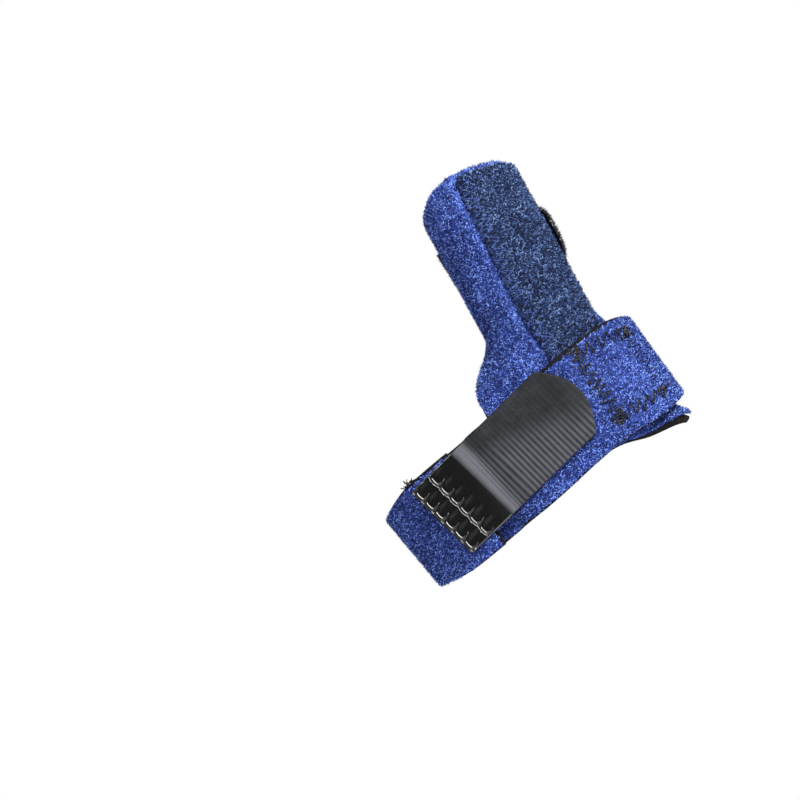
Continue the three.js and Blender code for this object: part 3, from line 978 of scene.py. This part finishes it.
def stitch_dents(length, z):
    """The cloth sinks along the box stitch."""
    depth = 0
    for start, end in box_sides():
        run = end - start
        share = np.clip(((length - start[0]) * run[0] + (z - start[1]) * run[1]) / (run @ run), 0, 1)
        away = np.hypot(length - start[0] - share * run[0], z - start[1] - share * run[1])
        depth = np.maximum(depth, hill(away, 1.5))
    return depth


def strap_relief(length, z):
    return 0.07 * lumps(length + 60, z + 30, 4.5, 5) + 0.05 * lumps(length + 60, z + 30, 1.1, 6) - 0.3 * stitch_dents(length, z)


def stroke(skin, start, end, level, arch, points=14):
    """A thread laid on a skin from one hole to the next."""
    share = np.linspace(0, 1, points)
    u, v = lerp(start[0], end[0], share), lerp(start[1], end[1], share)
    return skin.lift(u, v, level(u, v) + arch * (np.sqrt(4 * share * (1 - share)) - 1))


def zigzag(start, end, swing, pitch, seed):
    """Holes of a hand-guided zigzag seam, a little uneven."""
    draw = np.random.default_rng(seed)
    start, end = np.array(start), np.array(end)
    long = np.hypot(*(end - start))
    ahead = (end - start) / long
    aside = np.array([-ahead[1], ahead[0]])
    count = round(2 * long / pitch)
    holes = []
    for k in range(count + 1):
        along = long * k / count + draw.uniform(-0.2, 0.2) * pitch
        away = swing * (1 if k % 2 else -1) * draw.uniform(0.75, 1.2)
        holes.append(start + along * ahead + away * aside)
    return holes


def knot(middle, reach, count, seed):
    """Holes of the stitches that cross each other where a seam turns."""
    draw = np.random.default_rng(seed)
    return [np.array(middle) + draw.uniform(-reach, reach, 2) for _ in range(count)]


def seam(skin, holes, level, arch):
    return [stroke(skin, holes[k], holes[k + 1], level, arch) for k in range(len(holes) - 1)]


def over_strap(sunk):
    """How high a thread lies on the strap's nap, or sunk into it."""
    return lambda length, z: LAMINATE + strap_relief(length, z) + 0.55 - sunk


def box_seam():
    lines = []
    for k, (start, end) in enumerate(box_sides()):
        sunk = BOX_SUNK if k == BOX_SUNK_SIDE else 0
        lines += seam(strap_skin, zigzag(start, end, BOX_SWING, BOX_PITCH, 41 + k), over_strap(sunk), 0.5)
        lines += seam(strap_skin, knot(start, 1.7, 8, 51 + k), over_strap(0), 0.5)
    return lines


def panel_seam():
    """Blue stitches that catch the panel's left edge through its pile."""
    low, high = (0.9, PANEL_FOOT), (0.9, float(panel_top(np.array(0.9))))
    holes = zigzag(low, high, 1.3, PANEL_STITCH_PITCH, 61)
    return seam(sleeve_skin, holes, lambda s, z: ON_FACE + PANEL_GROUND + 0.35 + 0 * s, 0.5)


def tab_seam():
    """Two rows of thick stitches across the hand tab's sewn end."""
    sewn, middle, _ = hand_tab_frame()
    turn_c, turn_s = math.cos(HAND_TAB_TILT), math.sin(HAND_TAB_TILT)

    def hole(along, down):
        up = HAND_TAB_WIDTH / 2 - PILLOW_MARGIN - down
        return np.array((sewn + along * turn_c - up * turn_s, middle + along * turn_s + up * turn_c))

    def level(length, z):
        return TAB + 0.05 + 0 * length

    def high(length, z):
        return TAB + 0.55 + 0 * length

    count = round((HAND_TAB_WIDTH - PILLOW_MARGIN) / PILLOW_PITCH)
    lines = []
    for start in PILLOW_ROWS:
        lines += seam(hand_tab_skin, [hole(start, k * PILLOW_PITCH) for k in range(count + 1)], level, 0.45)
        for k in range(count + 1):
            down = k * PILLOW_PITCH
            lines.append(stroke(hand_tab_skin, hole(start + 0.2, down), hole(start + 2.1, down - 0.5), high, 0.5))
    return lines


def tuft(skin, u, v, level, reach, count, seed):
    """Cut ends of thread that stray out of an edge."""
    draw = np.random.default_rng(seed)
    ends = []
    for _ in range(count):
        base = draw.uniform(-0.5, 0.5) * reach
        drift = np.cumsum(draw.normal(0, 0.32, (2, 6)), axis=1)
        share = np.linspace(0, 1, 6)
        along, up = u + base + drift[0], v + share * reach * draw.uniform(0.3, 1) + 0.5 * drift[1]
        ends.append(skin.lift(along, up, level + 0.6 * draw.uniform(-1, 1) * share))
    return ends


# The hand tab: a glossy sewn end that two rows of stitches draw into pillows, then moulded ribs
GLOSS_END = 12.3
PILLOW_ROWS = (0.8, 5.4)
PILLOW_LONG = 4.4
PILLOW_PITCH = 3.4
PILLOW_HEIGHT = 0.6
PILLOW_EDGE = 1.0
PILLOW_BOW = 0.3
PILLOW_MARGIN = 0.5
CREASE = 0.35
RIB_PITCH = 1.2
RIB_HEIGHT = 0.12


def hand_tab_gloss(length, z):
    along = on_hand_tab(length, z)[0]
    return smooth(along, 0.2, 0.8) - smooth(along, GLOSS_END - 0.5, GLOSS_END)


def hand_tab_rib(length, z):
    """The ribs show over the tab's lower side and next to the gloss, and fade out towards its upper tip."""
    along, across = on_hand_tab(length, z)
    share = along / hand_tab_frame()[2]
    worn = smooth(0.95 * share + 1.1 * across / HAND_TAB_WIDTH, 0.4, 0.9)
    wave = 0.5 + 0.5 * np.cos(2 * math.pi * along / RIB_PITCH)
    return wave * smooth(along, GLOSS_END, GLOSS_END + 1.5) * (1 - 0.92 * worn)


def hand_tab_rub_highlight_and_reflection(length, z):
    """The ribs' crests are painted pale, partly rubbed and partly painted highlight, and a band beside the gloss is
    painted paler still as a painted reflection.
    """
    painted_reflection = hill(on_hand_tab(length, z)[0] - GLOSS_END - 1.8, 2.0)
    return hand_tab_rib(length, z) + 1.0 * painted_reflection


def pillows(length, z):
    """Each bows out towards the sewn end, with a crease on either side, and sinks softly on its far side."""
    along, across = on_hand_tab(length, z)
    down = np.mod(HAND_TAB_WIDTH / 2 - across - PILLOW_MARGIN, PILLOW_PITCH)
    bow = PILLOW_BOW * np.sin(math.pi * down / PILLOW_PITCH)
    crease = hill(np.minimum(down, PILLOW_PITCH - down), CREASE)
    height = 0
    for start in PILLOW_ROWS:
        out = along - start + bow
        far = 1 - smooth(out, 0, PILLOW_LONG)
        creased = 1 - 0.5 * crease * (1 - smooth(out, 0.1 * PILLOW_LONG, 0.4 * PILLOW_LONG))
        height = height + bulge(out, PILLOW_EDGE) * far * creased
    return PILLOW_HEIGHT * height


def hand_tab_relief(length, z):
    lip = 0.14 * hill(on_hand_tab(length, z)[0] - GLOSS_END - 0.2, 0.3)
    return RIB_HEIGHT * hand_tab_rib(length, z) + pillows(length, z) + lip


royal = brushed_cloth()
hair = nap_hair()
ground = pile_ground()
strand = pile_strand()
black_foam = foam()
tape = hook_tape()
hook = hook_plastic()
black_thread = thread("black_thread", (0.004, 0.004, 0.005), 0.2)
blue_thread = thread("blue_thread", (0.045, 0.08, 0.40), 0.5)

nap = nap_recipe()
pile = pile_recipe()
twist = thread_recipe()

SLEEVE_WIDE = PALM_WING_LEFT + PALM_WING_RIGHT
SLEEVE_LONG = RIM_HEIGHT + HEM_DEPTH
STRAP_LONG = hand.girth + 10
EDGE = 0.5
FOAM_EDGE = 0.2

# Finger sleeve
sleeve_lining = shell("foam_sleeve", sleeve_skin, sleeve_place, SLEEVE_WIDE, SLEEVE_LONG, 0.9, 0, LINING, FOAM_EDGE)
finished(sleeve_lining, "root", ["sleeve_lining"], black_foam)

sleeve_cut = trimmed(sleeve_place, FACE_INSET, HEM_REVEAL, -RIM_TURN)
sleeve_face = shell(
    "cloth_sleeve", sleeve_skin, sleeve_cut, SLEEVE_WIDE, SLEEVE_LONG, 0.5,
    FACE_FROM, LAMINATE, EDGE, sleeve_relief, {"nap": sleeve_nap, "pressed": seam_pressed_and_painted_highlight},
)
finished(sleeve_face, "root", ["sleeve_face"], royal)

NAP = {"per_mm2": 10.0, "hair_length": 0.65 * MM, "hair_width": 0.23 * MM, "finish": hair}
sleeve_hairs = nap.grow(sleeve_face, "cloth_sleeve_nap", seed=11, **NAP)
finished(sleeve_hairs, "root")
sleeve_size = cut_size(sleeve_skin, sleeve_cut, FACE_FROM + FACE / 2)

# Pocket panel
panel = shell(
    "pile_panel", sleeve_skin, panel_place, PANEL_WIDTH, RIM_HEIGHT - PANEL_FOOT, 0.5,
    ON_FACE, ON_FACE + PANEL_GROUND, EDGE, fields={"nap": lambda s, z: 1.0},
)
finished(panel, "root", ["pocket_panel"], ground)

panel_pile = pile.grow(
    panel, "pile_panel_strands", per_mm2=12.2, strand_length=0.78 * MM, strand_width=0.13 * MM, seed=21, finish=strand
)
finished(panel_pile, "root")
panel_size = cut_size(sleeve_skin, panel_place, ON_FACE + PANEL_GROUND / 2)

# Finger tab
finger_tab = shell(
    "tape_finger_tab", finger_tab_skin, finger_tab_place, 31, FINGER_TAB_WIDTH, 0.4, 0, 0.8 * TAB, 0.3,
    fields={"nap": lambda s, z: 1.0, "rib": lambda s, z: 0.0, "gloss": lambda s, z: 0.0},
)
finished(finger_tab, "root", ["finger_tab"], tape)

finger_hooks = nap.grow(
    finger_tab, "tape_finger_tab_hooks", per_mm2=8.0, hair_length=0.75 * MM, hair_width=0.2 * MM, seed=25, finish=hook
)
finished(finger_hooks, "root")

# Hand strap
strap_lining = shell("foam_strap", strap_skin, strap_place, STRAP_LONG, STRAP_WIDTH, 0.9, 0, LINING, FOAM_EDGE)
finished(strap_lining, "root", ["strap_lining"], black_foam)

strap_cut = trimmed(strap_place, FACE_INSET, FACE_INSET, STRAP_TOP_REVEAL)
strap_face = shell(
    "cloth_strap", strap_skin, strap_cut, STRAP_LONG, STRAP_WIDTH, 0.5,
    FACE_FROM, LAMINATE, EDGE, strap_relief, {"nap": strap_nap, "pressed": lambda u, v: 0.0},
)
finished(strap_face, "root", ["strap_face"], royal)

strap_hairs = nap.grow(strap_face, "cloth_strap_nap", seed=31, **NAP)
finished(strap_hairs, "root")
strap_size = cut_size(strap_skin, strap_cut, FACE_FROM + FACE / 2)

# Hand tab
hand_tab = shell(
    "tape_hand_tab", hand_tab_skin, hand_tab_place, hand_tab_frame()[2], HAND_TAB_WIDTH, 0.2, 0, TAB, 0.3,
    hand_tab_relief, {"rib": hand_tab_rub_highlight_and_reflection, "gloss": hand_tab_gloss},
)
finished(hand_tab, "root", ["hand_tab"], tape)

# Threads
box_thread = sew(twist, "thread_box", box_seam(), ply_radius=0.13 * MM, twist_length=0.9 * MM, finish=black_thread)
finished(box_thread, "root")

tab_thread = sew(twist, "thread_hand_tab", tab_seam(), ply_radius=0.14 * MM, twist_length=5 * MM, finish=black_thread)
finished(tab_thread, "root")

tufts = tuft(strap_skin, hand.palm_length(-27.7, LAMINATE), 13.2, 2.4, 1.0, 12, 81)
tufts += tuft(strap_skin, hand.palm_length(-25.2, LAMINATE), 13.0, 2.6, 0.8, 6, 82)
edge_thread = sew(twist, "thread_tufts", tufts, ply_radius=0.13 * MM, twist_length=0.9 * MM, finish=black_thread)
finished(edge_thread, "root")

panel_thread = sew(twist, "thread_panel", panel_seam(), ply_radius=0.07 * MM, twist_length=0.9 * MM, finish=blue_thread)
finished(panel_thread, "root")

# Floor, sky, lights and camera
PALM_PLANE = -0.013
CAMERA_AWAY = 0.6
CAMERA_ROLL = math.radians(40)
VIEW_MIDDLE = Vector((-0.01485, PALM_PLANE, 0.0312))
PIXELS_PER_METRE = 4000
IMAGE_WIDTH = 800
SENSOR_MM = 36


def make_camera():
    """The camera looks at the palm side level, rolled so that the hand's length leans left in the picture."""
    data = bpy.data.cameras.new("camera")
    data.sensor_width = SENSOR_MM
    data.lens = SENSOR_MM * CAMERA_AWAY * PIXELS_PER_METRE / IMAGE_WIDTH
    camera = bpy.data.objects.new("camera", data)
    eye = Vector((0, PALM_PLANE - CAMERA_AWAY, 0))
    back = (eye - VIEW_MIDDLE).normalized()
    up = Vector((math.sin(CAMERA_ROLL), 0, math.cos(CAMERA_ROLL)))
    right = up.cross(back).normalized()
    up = back.cross(right)
    camera.matrix_world = Matrix.Translation(eye) @ Matrix((right, up, back)).transposed().to_4x4()
    bpy.context.scene.collection.objects.link(camera)
    bpy.context.scene.camera = camera


def make_light(name, place, wide, tall, power):
    """A soft light, in metres and watts, that faces the brace."""
    data = bpy.data.lights.new(name, "AREA")
    data.shape = "RECTANGLE"
    data.size = wide
    data.size_y = tall
    data.energy = power
    light = bpy.data.objects.new(name, data)
    light.location = place
    light.rotation_euler = Vector(place).to_track_quat("Z", "Y").to_euler()
    bpy.context.scene.collection.objects.link(light)


def make_sky():
    """A white backdrop, which lights the brace more softly than it shows, in a room that is darker in front."""
    world = bpy.data.worlds.new("studio")
    world.use_nodes = True
    bpy.context.scene.world = world
    graph = Graph(world.node_tree)
    seen = graph.node("ShaderNodeBackground", {}, {"Color": (1, 1, 1, 1), "Strength": 1.0})
    heading = graph.node("ShaderNodeTexCoord", output="Generated")
    away = graph.node("ShaderNodeSeparateXYZ", {}, {0: heading}, "Y")
    cast = graph.node("ShaderNodeBackground", {}, {"Color": (0.93, 0.96, 1, 1), "Strength": away * 0.3 + 0.34})
    looked_at = graph.node("ShaderNodeLightPath", output="Is Camera Ray")
    sky = graph.node("ShaderNodeMixShader", {}, {0: looked_at, 1: cast, 2: seen})
    world.node_tree.links.new(sky.socket, world.node_tree.nodes["World Output"].inputs["Surface"])


def make_floor():
    half, depth = 6, -0.16
    corners = np.array([(-half, -half, depth), (half, -half, depth), (half, half, depth), (-half, half, depth)])
    floor = new_piece("floor", corners, np.array([[0, 1, 2, 3]]))
    finish = Finish("floor", (0.8, 0.8, 0.8), 0.9)
    shown = finish.node("ShaderNodeEmission", {}, {"Color": (1, 1, 1, 1), "Strength": 1.0})
    looked_at = finish.node("ShaderNodeLightPath", output="Is Camera Ray")
    matt = Wire(finish, finish.shader.outputs[0])
    floor_shader = finish.node("ShaderNodeMixShader", {}, {0: looked_at, 1: matt, 2: shown})
    finish.tree.links.new(floor_shader.socket, finish.tree.nodes["Material Output"].inputs["Surface"])
    floor.data.materials.append(finish.material)


make_camera()
make_light("key", (0.55, -0.45, 0.3), 0.25, 0.25, 13.0)
make_light("left", (-0.5, -0.45, -0.04), 0.11, 0.36, 2.6)
make_light("top", (-0.12, -0.4, 0.55), 0.15, 0.15, 1.5)
make_sky()
make_floor()
bpy.context.scene.view_settings.view_transform = "Standard"
